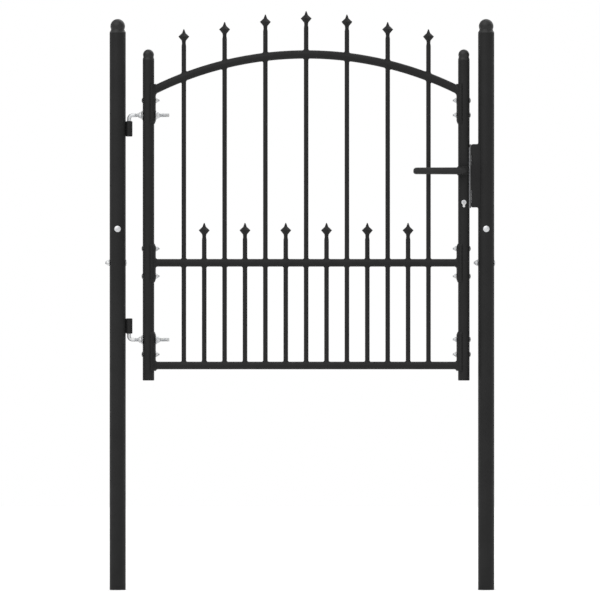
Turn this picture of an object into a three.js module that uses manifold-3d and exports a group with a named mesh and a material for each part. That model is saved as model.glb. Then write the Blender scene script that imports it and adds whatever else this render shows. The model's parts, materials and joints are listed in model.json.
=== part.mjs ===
// Garden gate: two round posts, an arched leaf of spear-headed pickets, L-bolt hinges and a lever lock.
// Millimetres, +Z up. X runs along the closed gate from the hinge post (-X) to the lock post (+X) and
// -Y is the front. The origin lies midway between the two post feet.

import * as THREE from 'three';
import { mergeVertices } from 'three/addons/utils/BufferGeometryUtils.js';
import Module from 'manifold-3d';

const wasm = await Module();
wasm.setup();

// ---- Driving dimensions ---------------------------------------------------------------------------

const GAP = 0.3; // left between pieces that touch or are welded
const MERGE_WITHIN = 1e-4;

// Posts: round tube, set in the ground at their lower end
const POST_X = 479;
const POST_RADIUS = 21;
const POST_WALL = 1.5;
const POST_TUBE_TOP = 1447;
const POST_CAP = { ball: 19, centre: 1465, neck: 17.5, shoulder: 4, plug: 16 };
const POST_FRONT_BOLT_Z = 938;
const POST_SIDE_BOLT_Z = 850;

// Stiles: the two uprights of the leaf
const HINGE_STILE_X = -399;
const LOCK_STILE_X = 421;
const STILE_RADIUS = 15;
const STILE_WALL = 1.5;
const STILE_BOTTOM = 544;
const STILE_END_THICKNESS = 3;
const STILE_END_ROUNDING = 1.4;
const STILE_TUBE_TOP = 1376;
const STILE_CAP = { ball: 14.3, centre: 1390.7, neck: 13.5, shoulder: 4, plug: 12 };
const PLUG_CLEARANCE = 0.5;

// Rails
const RAIL_RADIUS = 10;
const RAIL_WALL = 1.2;
const BOTTOM_RAIL_Z = 583;
const MID_RAIL_Z = 850;
const ARCH_TUBE_RADIUS = 11;
const ARCH_RADIUS = 890;
const ARCH_CROWN_Z = 1392;
const ARCH_STEPS = 14;

// Pickets: one long picket on the middle of the leaf and three on each side, short ones between them
const LEAF_CENTRE_X = (HINGE_STILE_X + LOCK_STILE_X) / 2;
const PICKET_PITCH = 106;
const PICKET_RADIUS = 6;
const PICKET_WALL = 1;
const LONG_TIP_Z = [1457.6, 1476.3, 1495.8, 1504.7]; // from the outermost long picket to the middle one
const SHORT_TIP_Z = 954;
const LONG_PER_SIDE = 3;

// Spearhead: radius at each depth below its tip
const SPEAR = [[44, PICKET_RADIUS], [36.4, 4.9], [30, 6.1], [19.4, 14.3], [10.4, 4.7], [0, 0.8]];

// Saddles: curved plates welded to the rail ends and bolted to the stiles
const SADDLE_PROUD = 4.2;
const SADDLE_HALF_ANGLE = 75;
const SADDLE_SPANS = { top: [1211, 1315], mid: [799, 900], bottom: [569, 671] };

// M6 bolts through stile and saddle. The hinge bolts take the place of two of them on the hinge side
const HINGE_SIDE_BOLT_Z = [1272, 887, 815, 612];
const LOCK_SIDE_BOLT_Z = [1272, 1234, 887, 815, 651, 612];

// Dome-headed bolts with flange nuts. The dome flattens at the crown
const M6 = {
  radius: 3, hole: 3.4,
  headRadius: 6.8, headHeight: 2.5, crownRadius: 4.9, crownHeight: 1.9,
  flangeRadius: 7.4, flangeHeight: 1.8, acrossFlats: 10, nutHeight: 6, threadPastNut: 3.4,
};
const M8 = {
  radius: 4, hole: 4.4,
  headRadius: 8.2, headHeight: 2.5, crownRadius: 5.9, crownHeight: 1.9,
  flangeRadius: 8.8, flangeHeight: 2, acrossFlats: 13, nutHeight: 8, threadPastNut: 3,
};

// Hinges: a barrel on the post, and an M10 bolt bent at a right angle that turns in it
const HINGE_AXIS_X = -449.3;
const BARREL = { radius: 8.7, bore: 5.35, lugHalfWidth: 5 };
const BARREL_SPANS = { upper: [1178.3, 1218.4], lower: [665.9, 705.7] };
const HINGE_BOLT_Z = { upper: 1233.5, lower: 650 };
const HINGE_PIN_SHORT_OF_BARREL = 2;
const M10 = { radius: 5, hole: 5.5, bend: 9, flangeRadius: 12, acrossFlats: 16 };
const M10_NUT_HEIGHT = 10.5;
const M10_FLANGE_HEIGHT = 3;
const M10_TIP_X = -344.8;

// Lock, let into the lock stile
const FOREND = { x: [436.3, 439.9], halfWidth: 10, z: [992.5, 1158] };
const CASE = { x: [409.7, 436], halfWidth: 6.2, wall: 0.9, z: [993.3, 1150] };
const LATCH = { z: [1107, 1129], halfWidth: 4.5, x: [423, 450.5], lug: 1.8, lugDrop: 5 };
const DEADBOLT = { z: [1008, 1037], halfWidth: 4.5, x: [429, 442], tailX: 412.5, tailZ: [1019, 1035] };
const SPINDLE_Z = 1089;
const SPINDLE_SIDE = 8;
const SPINDLE_HOLE_RADIUS = 6.6;
const FOLLOWER_RADIUS = 7.5;
const FOLLOWER_ARM = { length: 16, width: 3, tilt: 20 };
const LATCH_NOSE = 2; // left flat at the end of the bevel
const ROSE = { x: [-17.7, 10.5], halfHeight: 12, corner: 4, y: [8, 20] };
const LEVER = { radius: 8.2, barY: 47, bend: 12, tipX: 290, tipLength: 8, socketY: 38 };
const LEVER_TIP = [[8, 0], [6.7, 4.8], [3.3, 8]]; // radius at each distance past the end of the bar
const CYLINDER = { z: 1007, radius: 6.75, legHalfWidth: 3.5, bottom: 994.5, halfLength: 16.5 };
const CYLINDER_PLUG_RADIUS = 4;
const CAM = { halfWidth: 3.4, radius: 6, lobe: 9.5, lobeHalfWidth: 2.5 };

// Keep: a box on the lock post that takes the latch and the deadbolt
const KEEP = { x: 440.4, halfWidth: 15, z: [994, 1158.5], wall: 2.4, notch: 2 };
const KEEP_SLOT_CLEARANCE = 1.2;

// Facets round a circle
const POST_SIDES = 24;
const STILE_SIDES = 16;
const RAIL_SIDES = 12;
const ROD_SIDES = 12;
const BOLT_SIDES = 8;
const HOLE_SIDES = 8;
const BALL_SIDES = 16;
const BALL_RINGS = 4;
const SADDLE_SIDES = 8;
const CYLINDER_SIDES = 16;

// ---- Materials ------------------------------------------------------------------------------------

const paint = new THREE.MeshStandardMaterial({ color: 0x2d2d2d, roughness: 0.55, metalness: 0.1 });
const blackPlastic = new THREE.MeshStandardMaterial({ color: 0x2a2a2a, roughness: 0.5, metalness: 0 });
const zinc = new THREE.MeshStandardMaterial({ color: 0xc8cacb, roughness: 0.35, metalness: 0.9 });
const stainless = new THREE.MeshStandardMaterial({ color: 0x9b9c9d, roughness: 0.3, metalness: 0.95 });
const caseSteel = new THREE.MeshStandardMaterial({ color: 0x8d9092, roughness: 0.45, metalness: 0.85 });

// ---- Solids: every helper takes and returns a BufferGeometry ---------------------------------------

function toSolid(geometry) {
  const bare = geometry.clone();
  bare.deleteAttribute('normal');
  bare.deleteAttribute('uv');
  const merged = mergeVertices(bare, MERGE_WITHIN);
  return new wasm.Manifold(new wasm.Mesh({
    numProp: 3,
    vertProperties: merged.attributes.position.array,
    triVerts: new Uint32Array(merged.index.array),
  }));
}

function toGeometry(solid) {
  const made = solid.getMesh();
  const geometry = new THREE.BufferGeometry();
  geometry.setAttribute('position', new THREE.BufferAttribute(made.vertProperties, 3));
  geometry.setIndex(new THREE.BufferAttribute(made.triVerts, 1));
  return geometry;
}

function cut(base, ...tools) {
  return toGeometry(tools.reduce((left, tool) => left.subtract(toSolid(tool)), toSolid(base)));
}

function join(base, ...others) {
  return toGeometry(others.reduce((sum, other) => sum.add(toSolid(other)), toSolid(base)));
}

// A body of revolution about Z. The profile lists [radius, z] from its lower end on the axis to its upper end
function lathe(profile, sides) {
  const points = profile.map(([radius, z]) => new THREE.Vector2(radius, z));
  return new THREE.LatheGeometry(points, sides).rotateX(Math.PI / 2);
}

function rod(radius, low, high, sides = ROD_SIDES) {
  return lathe([[0, low], [radius, low], [radius, high], [0, high]], sides);
}

function tube(radius, wall, low, high, sides) {
  const inner = radius - wall;
  return lathe([[inner, low], [radius, low], [radius, high], [inner, high], [inner, low]], sides);
}

function box([x0, x1], [y0, y1], [z0, z1]) {
  return new THREE.BoxGeometry(x1 - x0, y1 - y0, z1 - z0)
    .translate((x0 + x1) / 2, (y0 + y1) / 2, (z0 + z1) / 2);
}

// Circumscribed, so that a round piece of the same radius passes the flats
function holeAlongX(radius, x0, x1, z, sides = HOLE_SIDES) {
  return rod(radius / Math.cos(Math.PI / sides), x0, x1, sides).rotateY(Math.PI / 2).translate(0, 0, z);
}

function holeAlongY(radius, y0, y1, z, sides = HOLE_SIDES) {
  return rod(radius / Math.cos(Math.PI / sides), -y1, -y0, sides).rotateX(Math.PI / 2).translate(0, 0, z);
}

function circle(radius, sides) {
  const shape = new THREE.Shape();
  for (let i = 0; i < sides; i++) {
    const angle = (2 * Math.PI * i) / sides;
    const [x, y] = [radius * Math.cos(angle), radius * Math.sin(angle)];
    if (i === 0) shape.moveTo(x, y);
    else shape.lineTo(x, y);
  }
  shape.closePath();
  return shape;
}

// A path given by points and directions, one section of the sweep at each
class SectionPath extends THREE.Curve {
  constructor(sections) {
    super();
    this.sections = sections;
  }

  at(t) {
    return this.sections[Math.round(t * (this.sections.length - 1))];
  }

  getPoint(t) {
    return this.at(t).point.clone();
  }

  getPointAt(t) {
    return this.getPoint(t);
  }

  getTangentAt(t) {
    return this.at(t).direction.clone();
  }
}

function sweep(shape, sections) {
  const path = new SectionPath(sections);
  return new THREE.ExtrudeGeometry(shape, { steps: sections.length - 1, extrudePath: path });
}

// A round bar that runs from start to corner to end, bent at the corner
function bentRod(radius, sides, start, corner, end, bendRadius, bendSteps = 5) {
  const first = corner.clone().sub(start).normalize();
  const second = end.clone().sub(corner).normalize();
  const centre = corner.clone().addScaledVector(first, -bendRadius).addScaledVector(second, bendRadius);
  const sections = [{ point: start, direction: first }];
  for (let i = 0; i <= bendSteps; i++) {
    const angle = (Math.PI / 2) * (i / bendSteps);
    const point = centre.clone()
      .addScaledVector(second, -bendRadius * Math.cos(angle))
      .addScaledVector(first, bendRadius * Math.sin(angle));
    const direction = first.clone().multiplyScalar(Math.cos(angle)).addScaledVector(second, Math.sin(angle));
    sections.push({ point, direction });
  }
  sections.push({ point: end, direction: second });
  return sweep(circle(radius, sides), sections);
}

function hexagon(acrossFlats, low, high) {
  return rod(acrossFlats / 2 / Math.cos(Math.PI / 6), low, high, 6);
}

// ---- Placing --------------------------------------------------------------------------------------

const gate = new THREE.Group();
const posts = new THREE.Group();
const leaf = new THREE.Group();
const lock = new THREE.Group();
leaf.add(lock);
gate.add(posts, leaf);

function place(group, name, geometry, material, x = 0, y = 0, z = 0) {
  geometry.computeVertexNormals();
  const mesh = new THREE.Mesh(geometry, material);
  mesh.name = name;
  mesh.position.set(x, y, z);
  group.add(mesh);
  return mesh;
}

// ---- Posts ----------------------------------------------------------------------------------------

function addPost(name, x) {
  const reach = POST_RADIUS + 5;
  const post = cut(
    tube(POST_RADIUS, POST_WALL, 0, POST_TUBE_TOP, POST_SIDES),
    holeAlongY(M8.hole, -reach, reach, POST_FRONT_BOLT_Z),
    holeAlongX(M8.hole, -reach, reach, POST_SIDE_BOLT_Z),
  );
  place(posts, name, post, paint, x);
}

// A ball on a short neck, with a shoulder that sits on the tube's end and a plug inside the tube
function ballCap(tubeRadius, tubeWall, tubeTop, { ball, centre, neck, shoulder, plug }) {
  const plugRadius = tubeRadius - tubeWall - PLUG_CLEARANCE;
  const neckAngle = -Math.acos(neck / ball);
  const profile = [
    [0, tubeTop - plug], [plugRadius, tubeTop - plug], [plugRadius, tubeTop + GAP],
    [tubeRadius, tubeTop + GAP], [tubeRadius, tubeTop + shoulder],
  ];
  for (let i = 0; i < BALL_RINGS; i++) {
    const angle = neckAngle + (Math.PI / 2 - neckAngle) * (i / BALL_RINGS);
    profile.push([ball * Math.cos(angle), centre + ball * Math.sin(angle)]);
  }
  profile.push([0, centre + ball]);
  return lathe(profile, BALL_SIDES);
}

function addPostCap(name, x) {
  place(posts, name, ballCap(POST_RADIUS, POST_WALL, POST_TUBE_TOP, POST_CAP), blackPlastic, x);
}

// A dome-headed bolt with its flange nut run on. It lies along Z with the head's seat at 0 and the nut's
// seat at -grip
function domeBolt(size, grip) {
  const { radius, headRadius, headHeight, crownRadius, crownHeight } = size;
  const nutEnd = -grip - size.nutHeight;
  const boltEnd = nutEnd - size.threadPastNut;
  const flangeTop = -grip - size.flangeHeight;
  const bolt = lathe([
    [0, boltEnd], [radius, boltEnd], [radius, flangeTop], [size.flangeRadius, flangeTop],
    [size.flangeRadius, -grip], [radius, -grip], [radius, 0], [headRadius, 0],
    [crownRadius, crownHeight], [0, headHeight],
  ], BOLT_SIDES);
  return join(bolt, hexagon(size.acrossFlats, nutEnd, -grip - size.flangeHeight / 2));
}

// The head faces headDirection, which is a unit vector along X or Y
function addBolt(group, name, geometry, x, y, z, headDirection) {
  const mesh = place(group, name, geometry, zinc, x, y, z);
  mesh.quaternion.setFromUnitVectors(new THREE.Vector3(0, 0, 1), headDirection);
  return mesh;
}

const FRONT = new THREE.Vector3(0, -1, 0);
const TO_LOCK_POST = new THREE.Vector3(1, 0, 0);
const TO_HINGE_POST = new THREE.Vector3(-1, 0, 0);

function addPostBolts(side, x) {
  const seat = POST_RADIUS + GAP;
  const bolt = domeBolt(M8, 2 * seat);
  addBolt(posts, `${side}_post_front_bolt`, bolt, x, -seat, POST_FRONT_BOLT_Z, FRONT);
  addBolt(posts, `${side}_post_side_bolt`, bolt.clone(), x + seat, 0, POST_SIDE_BOLT_Z, TO_LOCK_POST);
}

// A barrel with the lug that is welded to the post
function addHingeBarrel(name, [low, high]) {
  const { radius, bore: boreRadius, lugHalfWidth } = BARREL;
  const post = rod(POST_RADIUS + GAP, low - 1, high + 1, POST_SIDES).translate(-POST_X, 0, 0);
  const lug = box([-POST_X + POST_RADIUS - 3, HINGE_AXIS_X], [-lugHalfWidth, lugHalfWidth], [low, high]);
  const barrel = rod(radius, low, high).translate(HINGE_AXIS_X, 0, 0);
  const bore = rod(boreRadius / Math.cos(Math.PI / ROD_SIDES), low - 1, high + 1)
    .translate(HINGE_AXIS_X, 0, 0);
  place(posts, name, cut(join(barrel, lug), post, bore), paint);
}

// A box with its back open to the post. Its plate towards the leaf has a slot for the latch and one for
// the deadbolt, and is notched from side to side at both
function addKeep() {
  const { x, halfWidth, z, wall, notch } = KEEP;
  const outside = box([x, POST_X - 10], [-halfWidth, halfWidth], z);
  const inside = box([x + wall, POST_X], [-halfWidth + wall, halfWidth - wall], [z[0] + wall, z[1] - wall]);
  const post = rod(POST_RADIUS + GAP, z[0] - 1, z[1] + 1, POST_SIDES).translate(POST_X, 0, 0);
  const openings = [LATCH, DEADBOLT].flatMap((bolt) => {
    const heights = [bolt.z[0] - KEEP_SLOT_CLEARANCE, bolt.z[1] + KEEP_SLOT_CLEARANCE];
    const slotHalfWidth = bolt.halfWidth + KEEP_SLOT_CLEARANCE;
    return [
      box([x - 1, x + wall + 1], [-slotHalfWidth, slotHalfWidth], heights),
      box([x - 1, x + notch], [-halfWidth - 1, halfWidth + 1], heights),
    ];
  });
  place(posts, 'strike_keep', cut(outside, inside, post, ...openings), paint);
}

addPost('hinge_post', -POST_X);
addPost('lock_post', POST_X);
addPostCap('hinge_post_ball_cap', -POST_X);
addPostCap('lock_post_ball_cap', POST_X);
addPostBolts('hinge', -POST_X);
addPostBolts('lock', POST_X);
addHingeBarrel('upper_hinge_barrel', BARREL_SPANS.upper);
addHingeBarrel('lower_hinge_barrel', BARREL_SPANS.lower);
addKeep();

// ---- Stiles ---------------------------------------------------------------------------------------

const STILE_REACH = STILE_RADIUS + 5;

// A tube with its lower end closed by a disc, welded in and ground round
function stileTube() {
  const inner = STILE_RADIUS - STILE_WALL;
  return lathe([
    [0, STILE_BOTTOM], [STILE_RADIUS - STILE_END_ROUNDING, STILE_BOTTOM],
    [STILE_RADIUS, STILE_BOTTOM + STILE_END_ROUNDING], [STILE_RADIUS, STILE_TUBE_TOP],
    [inner, STILE_TUBE_TOP], [inner, STILE_BOTTOM + STILE_END_THICKNESS],
    [0, STILE_BOTTOM + STILE_END_THICKNESS],
  ], STILE_SIDES);
}

function boltHoles(heights, radius) {
  return heights.map((z) => holeAlongX(radius, -STILE_REACH, STILE_REACH, z));
}

// The opening for the cylinder is round above and straight-sided below
function cylinderShape(clearance, y0, y1) {
  const { z, radius, legHalfWidth, bottom } = CYLINDER;
  const half = legHalfWidth + clearance;
  const leg = box([-half, half], [y0, y1], [bottom - clearance, z]);
  const flats = (radius + clearance) * Math.cos(Math.PI / CYLINDER_SIDES);
  return join(holeAlongY(flats, y0, y1, z, CYLINDER_SIDES), leg);
}

function addStiles() {
  const hingeStile = cut(
    stileTube(),
    ...boltHoles(HINGE_SIDE_BOLT_Z, M6.hole),
    ...boltHoles(Object.values(HINGE_BOLT_Z), M10.hole),
  );
  place(leaf, 'hinge_stile', hingeStile, paint, HINGE_STILE_X);

  const slotHalfWidth = CASE.halfWidth + GAP;
  const lockSlot = box(
    [0, STILE_REACH], [-slotHalfWidth, slotHalfWidth], [CASE.z[0] - GAP, CASE.z[1] + GAP],
  );
  const lockStile = cut(
    stileTube(),
    ...boltHoles(LOCK_SIDE_BOLT_Z, M6.hole),
    lockSlot,
    holeAlongY(SPINDLE_HOLE_RADIUS, -STILE_REACH, STILE_REACH, SPINDLE_Z, ROD_SIDES),
    cylinderShape(GAP, -STILE_REACH, STILE_REACH),
  );
  place(leaf, 'lock_stile', lockStile, paint, LOCK_STILE_X);
}

function addStileCap(name, x) {
  place(leaf, name, ballCap(STILE_RADIUS, STILE_WALL, STILE_TUBE_TOP, STILE_CAP), blackPlastic, x);
}

// A part-round plate on the inner side of a stile. inward is +1 where the leaf's middle lies towards +X
function addSaddle(name, x, inward, [low, high], holes) {
  const half = THREE.MathUtils.degToRad(SADDLE_HALF_ANGLE);
  const inner = (STILE_RADIUS + GAP) / Math.cos(half / SADDLE_SIDES);
  const outer = STILE_RADIUS + SADDLE_PROUD;
  const middle = inward > 0 ? 0 : Math.PI;
  const shape = new THREE.Shape();
  shape.absarc(0, 0, outer, middle - half, middle + half, false);
  shape.absarc(0, 0, inner, middle + half, middle - half, true);
  shape.closePath();
  const plate = new THREE.ExtrudeGeometry(shape, {
    depth: high - low, bevelEnabled: false, curveSegments: SADDLE_SIDES,
  }).translate(0, 0, low);
  const bored = cut(plate, ...holes.map(({ z, radius }) => holeAlongX(radius, -outer - 1, outer + 1, z)));
  place(leaf, name, bored, paint, x);
}

function addSaddles(side, x, inward, bolts) {
  for (const [level, span] of Object.entries(SADDLE_SPANS)) {
    const holes = bolts.filter(({ z }) => z > span[0] && z < span[1]);
    addSaddle(`${side}_${level}_saddle`, x, inward, span, holes);
  }
}

addStiles();
addStileCap('hinge_stile_ball_cap', HINGE_STILE_X);
addStileCap('lock_stile_ball_cap', LOCK_STILE_X);
addSaddles('hinge', HINGE_STILE_X, 1, [
  ...HINGE_SIDE_BOLT_Z.map((z) => ({ z, radius: M6.hole })),
  ...Object.values(HINGE_BOLT_Z).map((z) => ({ z, radius: M10.hole })),
]);
addSaddles('lock', LOCK_STILE_X, -1, LOCK_SIDE_BOLT_Z.map((z) => ({ z, radius: M6.hole })));

// ---- Rails ----------------------------------------------------------------------------------------

const LONG_PICKET_X = [];
for (let n = -LONG_PER_SIDE; n <= LONG_PER_SIDE; n++) LONG_PICKET_X.push(LEAF_CENTRE_X + n * PICKET_PITCH);
const SHORT_PICKET_X = LONG_PICKET_X.slice(1).map((x) => x - PICKET_PITCH / 2);

function saddleFaces() {
  const radius = (STILE_RADIUS + SADDLE_PROUD + GAP) / Math.cos(Math.PI / STILE_SIDES);
  return [HINGE_STILE_X, LOCK_STILE_X].map((x) => (
    rod(radius, STILE_BOTTOM, STILE_TUBE_TOP, STILE_SIDES).translate(x, 0, 0)
  ));
}

function picketHoles(places, low, high) {
  const radius = (PICKET_RADIUS + GAP) / Math.cos(Math.PI / HOLE_SIDES);
  return places.map((x) => rod(radius, low, high, HOLE_SIDES).translate(x, 0, 0));
}

function straightRail(z) {
  return tube(RAIL_RADIUS, RAIL_WALL, HINGE_STILE_X + 5, LOCK_STILE_X - 5, RAIL_SIDES)
    .rotateY(Math.PI / 2).translate(0, 0, z);
}

function archRail() {
  const centreZ = ARCH_CROWN_Z - ARCH_RADIUS;
  const halfSpan = Math.asin((LOCK_STILE_X - LEAF_CENTRE_X) / ARCH_RADIUS);
  const sections = [];
  for (let i = 0; i <= ARCH_STEPS; i++) {
    const angle = -halfSpan + (2 * halfSpan * i) / ARCH_STEPS;
    const [across, up] = [Math.sin(angle), Math.cos(angle)];
    sections.push({
      point: new THREE.Vector3(LEAF_CENTRE_X + ARCH_RADIUS * across, 0, centreZ + ARCH_RADIUS * up),
      direction: new THREE.Vector3(up, 0, -across),
    });
  }
  const shape = circle(ARCH_TUBE_RADIUS, RAIL_SIDES);
  shape.holes.push(circle(ARCH_TUBE_RADIUS - RAIL_WALL, RAIL_SIDES));
  return sweep(shape, sections);
}

function addRails() {
  place(leaf, 'bottom_rail', cut(straightRail(BOTTOM_RAIL_Z), ...saddleFaces()), paint);
  const crossing = [...LONG_PICKET_X, ...SHORT_PICKET_X];
  const midHoles = picketHoles(crossing, MID_RAIL_Z - 20, MID_RAIL_Z + 20);
  place(leaf, 'mid_rail', cut(straightRail(MID_RAIL_Z), ...saddleFaces(), ...midHoles), paint);
  const archHoles = picketHoles(LONG_PICKET_X, ARCH_CROWN_Z - 120, ARCH_CROWN_Z + 30);
  place(leaf, 'arch_rail', cut(archRail(), ...saddleFaces(), ...archHoles), paint);
}

// ---- Pickets --------------------------------------------------------------------------------------

// A hollow round picket, closed by its spearhead and coped over the bottom rail
function picket(tip) {
  const bottom = BOTTOM_RAIL_Z + RAIL_RADIUS * 0.7;
  const inner = PICKET_RADIUS - PICKET_WALL;
  const boreTop = tip - SPEAR[0][0] - 4;
  const outline = SPEAR.map(([depth, radius]) => [radius, tip - depth]);
  const body = lathe(
    [[0, boreTop], [inner, boreTop], [inner, bottom], [PICKET_RADIUS, bottom], ...outline, [0, tip]],
    HOLE_SIDES,
  );
  const reach = PICKET_RADIUS + 2;
  return cut(body, holeAlongX(RAIL_RADIUS + GAP, -reach, reach, BOTTOM_RAIL_Z, RAIL_SIDES));
}

function addPickets() {
  LONG_PICKET_X.forEach((x, i) => {
    const fromEnd = Math.min(i, LONG_PICKET_X.length - 1 - i);
    place(leaf, `long_picket_${i + 1}`, picket(LONG_TIP_Z[fromEnd]), paint, x);
  });
  SHORT_PICKET_X.forEach((x, i) => place(leaf, `short_picket_${i + 1}`, picket(SHORT_TIP_Z), paint, x));
}

addRails();
addPickets();

// ---- Leaf fasteners -------------------------------------------------------------------------------

function addSaddleBolts(side, x, heights, headDirection) {
  const headSeat = STILE_RADIUS + GAP;
  const grip = headSeat + STILE_RADIUS + SADDLE_PROUD + GAP;
  heights.forEach((z, i) => {
    const headX = x + headDirection.x * headSeat;
    addBolt(leaf, `${side}_saddle_bolt_${i + 1}`, domeBolt(M6, grip), headX, 0, z, headDirection);
  });
}

// A flange nut along X with its flange at seat. direction is the way it faces, +1 or -1
function m10Nut(seat, direction) {
  const flange = rod(M10.flangeRadius, 0, M10_FLANGE_HEIGHT);
  const nut = join(flange, hexagon(M10.acrossFlats, M10_FLANGE_HEIGHT / 2, M10_NUT_HEIGHT));
  return nut.rotateY((direction * Math.PI) / 2).translate(seat, 0, 0);
}

// The L-bolt's upright end turns in its barrel. Its long leg runs through the stile between two nuts
function addHingeBolt(name, z, barrel) {
  const down = barrel[1] < z;
  const pinEnd = down ? barrel[0] + HINGE_PIN_SHORT_OF_BARREL : barrel[1] - HINGE_PIN_SHORT_OF_BARREL;
  const bolt = bentRod(
    M10.radius, ROD_SIDES,
    new THREE.Vector3(HINGE_AXIS_X, 0, pinEnd - z),
    new THREE.Vector3(HINGE_AXIS_X, 0, 0),
    new THREE.Vector3(M10_TIP_X, 0, 0),
    M10.bend,
  );
  const outerNut = m10Nut(HINGE_STILE_X - STILE_RADIUS - GAP, -1);
  const innerNut = m10Nut(HINGE_STILE_X + STILE_RADIUS + SADDLE_PROUD + GAP, 1);
  place(leaf, name, join(bolt, outerNut, innerNut), zinc, 0, 0, z);
}

addSaddleBolts('hinge', HINGE_STILE_X, HINGE_SIDE_BOLT_Z, TO_HINGE_POST);
addSaddleBolts('lock', LOCK_STILE_X, LOCK_SIDE_BOLT_Z, TO_LOCK_POST);
addHingeBolt('upper_hinge_bolt', HINGE_BOLT_Z.upper, BARREL_SPANS.upper);
addHingeBolt('lower_hinge_bolt', HINGE_BOLT_Z.lower, BARREL_SPANS.lower);

// ---- Lock -----------------------------------------------------------------------------------------

// A slim box open towards the forend, with holes for the spindle and the cylinder in both sides
function addLockCase() {
  const { x, halfWidth, wall, z } = CASE;
  const outside = box(x, [-halfWidth, halfWidth], z);
  const innerHalf = halfWidth - wall;
  const inside = box([x[0] + wall, x[1] + 1], [-innerHalf, innerHalf], [z[0] + wall, z[1] - wall]);
  const reach = halfWidth + 1;
  const holes = [
    holeAlongY(SPINDLE_HOLE_RADIUS, -reach, reach, SPINDLE_Z, ROD_SIDES).translate(LOCK_STILE_X, 0, 0),
    cylinderShape(GAP, -reach, reach).translate(LOCK_STILE_X, 0, 0),
  ];
  place(lock, 'lock_case', cut(outside, inside, ...holes), caseSteel);
}

function addForend() {
  const { x, halfWidth, z } = FOREND;
  const plate = box(x, [-halfWidth, halfWidth], z);
  const slots = [LATCH, DEADBOLT].map((bolt) => box(
    [x[0] - 1, x[1] + 1],
    [-bolt.halfWidth - GAP, bolt.halfWidth + GAP],
    [bolt.z[0] - GAP, bolt.z[1] + GAP],
  ));
  place(lock, 'lock_forend', cut(plate, ...slots), stainless);
}

// The latch is bevelled on the front face of its nose, and a lug under its tail meets the follower's arm
function addLatch() {
  const { x, z, halfWidth, lug, lugDrop } = LATCH;
  const outline = new THREE.Shape();
  const bevelStart = FOREND.x[1] + 1;
  outline.moveTo(x[0], -halfWidth);
  outline.lineTo(bevelStart, -halfWidth);
  outline.lineTo(x[1], halfWidth - LATCH_NOSE);
  outline.lineTo(x[1], halfWidth);
  outline.lineTo(x[0], halfWidth);
  outline.closePath();
  const bolt = new THREE.ExtrudeGeometry(outline, { depth: z[1] - z[0], bevelEnabled: false })
    .translate(0, 0, z[0]);
  const lugX = [LOCK_STILE_X + 1, LOCK_STILE_X + 1 + lug];
  const tail = box([lugX[0], x[0] + 2], [-halfWidth, halfWidth], [z[0] + 1, z[0] + 5]);
  const foot = box(lugX, [-halfWidth, halfWidth], [z[0] - lugDrop, z[0] + 4]);
  place(lock, 'latch_bolt', join(bolt, tail, foot), zinc);
}

function addDeadbolt() {
  const { x, z, halfWidth, tailX, tailZ } = DEADBOLT;
  const head = box(x, [-halfWidth, halfWidth], z);
  const tail = box([tailX, x[0] + 1], [-halfWidth, halfWidth], tailZ);
  place(lock, 'deadbolt', join(head, tail), zinc);
}

// A square spindle with the follower on its middle. The follower's arm draws the latch back
function addSpindle() {
  const half = SPINDLE_SIDE / 2;
  const end = LEVER.socketY - 1;
  const inner = CASE.halfWidth - CASE.wall - GAP;
  const square = box([-half, half], [-end, end], [-half, half]);
  const hub = rod(FOLLOWER_RADIUS, -inner, inner).rotateX(Math.PI / 2);
  const { length, width, tilt } = FOLLOWER_ARM;
  const arm = box([-width / 2, width / 2], [-inner, inner], [0, length])
    .rotateY(THREE.MathUtils.degToRad(tilt));
  place(lock, 'lever_spindle', join(square, hub, arm), caseSteel, LOCK_STILE_X, 0, SPINDLE_Z);
}

// A block that fits over the round stile, with a hole for the spindle. side is -1 in front and +1 behind
function addRose(name, side) {
  const { x, halfHeight, corner, y } = ROSE;
  const [left, right] = x;
  const outline = new THREE.Shape();
  outline.moveTo(left + corner, -halfHeight);
  outline.lineTo(right - corner, -halfHeight);
  outline.lineTo(right, -halfHeight + corner);
  outline.lineTo(right, halfHeight - corner);
  outline.lineTo(right - corner, halfHeight);
  outline.lineTo(left + corner, halfHeight);
  outline.lineTo(left, halfHeight - corner);
  outline.lineTo(left, -halfHeight + corner);
  outline.closePath();
  const block = new THREE.ExtrudeGeometry(outline, { depth: y[1] - y[0], bevelEnabled: false })
    .rotateX(Math.PI / 2).translate(0, side > 0 ? y[1] : -y[0], 0);
  const stile = rod(STILE_RADIUS + GAP, -halfHeight - 1, halfHeight + 1, STILE_SIDES);
  const hole = holeAlongY(SPINDLE_HOLE_RADIUS, -y[1] - 1, y[1] + 1, 0);
  place(lock, name, cut(block, stile, hole), paint, LOCK_STILE_X, 0, SPINDLE_Z);
}

// side is -1 for the front lever and +1 for the back one
function addLever(name, side) {
  const { radius, barY, bend, tipX, tipLength, socketY } = LEVER;
  const neckStart = ROSE.y[1] + GAP;
  const tipStart = tipX + tipLength - LOCK_STILE_X;
  const bar = bentRod(
    radius, ROD_SIDES,
    new THREE.Vector3(0, side * neckStart, 0),
    new THREE.Vector3(0, side * barY, 0),
    new THREE.Vector3(tipStart, side * barY, 0),
    bend, 4,
  );
  const end = lathe([[0, -1], [LEVER_TIP[0][0], -1], ...LEVER_TIP, [0, tipLength]], ROD_SIDES)
    .rotateY(-Math.PI / 2).translate(tipStart, side * barY, 0);
  const half = SPINDLE_SIDE / 2 + GAP;
  const socket = side > 0 ? [neckStart - 1, socketY] : [-socketY, -neckStart + 1];
  const lever = cut(join(bar, end), box([-half, half], socket, [-half, half]));
  place(lock, name, lever, paint, LOCK_STILE_X, 0, SPINDLE_Z);
}

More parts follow.
